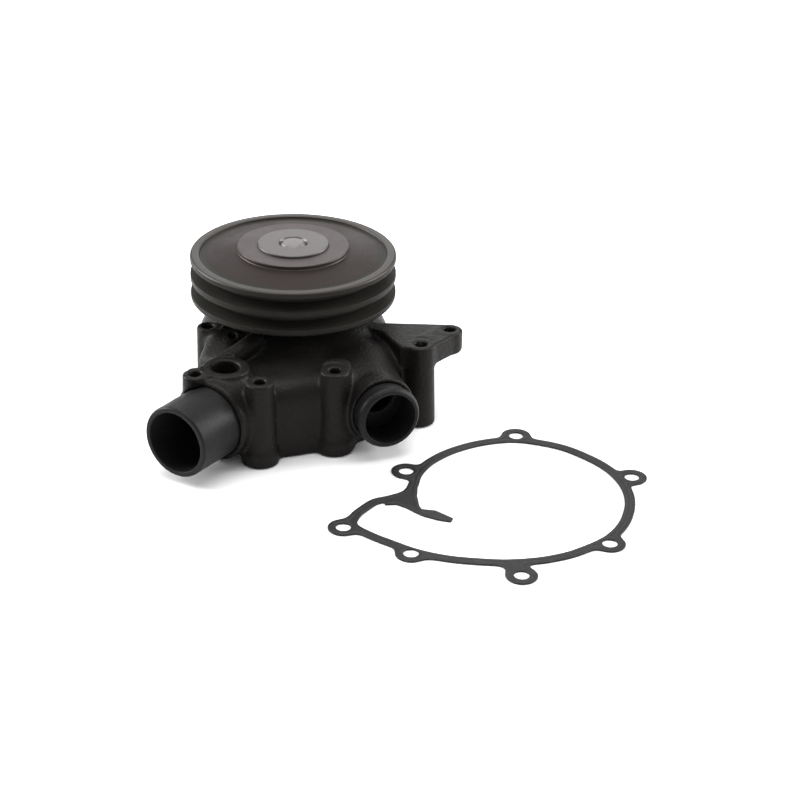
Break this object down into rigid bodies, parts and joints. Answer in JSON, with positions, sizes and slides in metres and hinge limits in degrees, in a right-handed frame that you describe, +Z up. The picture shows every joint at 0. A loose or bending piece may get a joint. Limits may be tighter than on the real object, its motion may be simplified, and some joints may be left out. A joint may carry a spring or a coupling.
{
  "type": "water pump",
  "caption": "Engine coolant pump with a black cast housing, hose pipes, bolt bosses, a side arm, a grooved belt pulley on a bearing shaft, and its loose flange gasket.",
  "frame": {"origin": "where the shaft axis meets the flange face", "axes": "+Z up the shaft towards the pulley; -Y towards the hose pipes; +X towards the bracket arm"},
  "size_m": [0.3513, 0.3797, 0.1204],
  "materials": {
    "black_casting": "matte black dip over a sand-cast skin",
    "black_pipe": "matte black dip over smooth tube",
    "bearing_steel": "ground and polished",
    "cage_brass": "satin",
    "seal_rubber": "matte",
    "spring_steel": "oiled",
    "ground_steel": "ground",
    "turned_steel": "turned face, fine rings",
    "dark_pulley": "phosphated, warm dark grey, turned",
    "raw_iron": "as cast",
    "cup_brass": "drawn",
    "carbon": "lapped carbon",
    "seal_ceramic": "lapped",
    "gasket_coating": "matte dark coating over thin steel"
  },
  "bodies": {
    "housing": {"housing": "black_casting", "large_hose_pipe": "black_pipe", "small_hose_pipe": "black_pipe", "lower_bearing_outer": "bearing_steel", "upper_bearing_outer": "bearing_steel", "lower_bearing_shield": "seal_rubber", "upper_bearing_shield": "seal_rubber", "circlip": "spring_steel", "seal_cup": "cup_brass", "seal_bellows": "seal_rubber", "seal_spring": "spring_steel", "carbon_ring": "carbon"},
    "rotor": {"shaft": "ground_steel", "pulley_hub": "turned_steel", "pulley": "dark_pulley", "impeller": "raw_iron", "slinger": "spring_steel", "lower_bearing_inner": "bearing_steel", "upper_bearing_inner": "bearing_steel", "bearing_spacer": "ground_steel", "ceramic_ring": "seal_ceramic", "ceramic_boot": "seal_rubber"},
    "lower_ball_set": {"lower_bearing_balls": "bearing_steel", "lower_bearing_cage": "cage_brass"},
    "upper_ball_set": {"upper_bearing_balls": "bearing_steel", "upper_bearing_cage": "cage_brass"},
    "gasket": {"gasket": "gasket_coating"}
  },
  "joints": [
    {"name": "shaft_spin", "type": "hinge", "parent": "housing", "child": "rotor", "pos_m": [0, 0, 0.06], "axis": [0, 0, 1], "continuous": true},
    {"name": "lower_balls_roll", "type": "hinge", "parent": "housing", "child": "lower_ball_set", "pos_m": [0, 0, 0.0575], "axis": [0, 0, 1], "continuous": true},
    {"name": "upper_balls_roll", "type": "hinge", "parent": "housing", "child": "upper_ball_set", "pos_m": [0, 0, 0.0845], "axis": [0, 0, 1], "continuous": true},
    {"name": "gasket_slide", "type": "slide", "parent": "housing", "child": "gasket", "axis": [0.6909, -0.7229, 0], "range_m": [0, 0.04]}
  ],
  "couplings": [
    {"joint": "lower_balls_roll", "follows": "shaft_spin", "ratio": 0.372},
    {"joint": "upper_balls_roll", "follows": "shaft_spin", "ratio": 0.372}
  ]
}
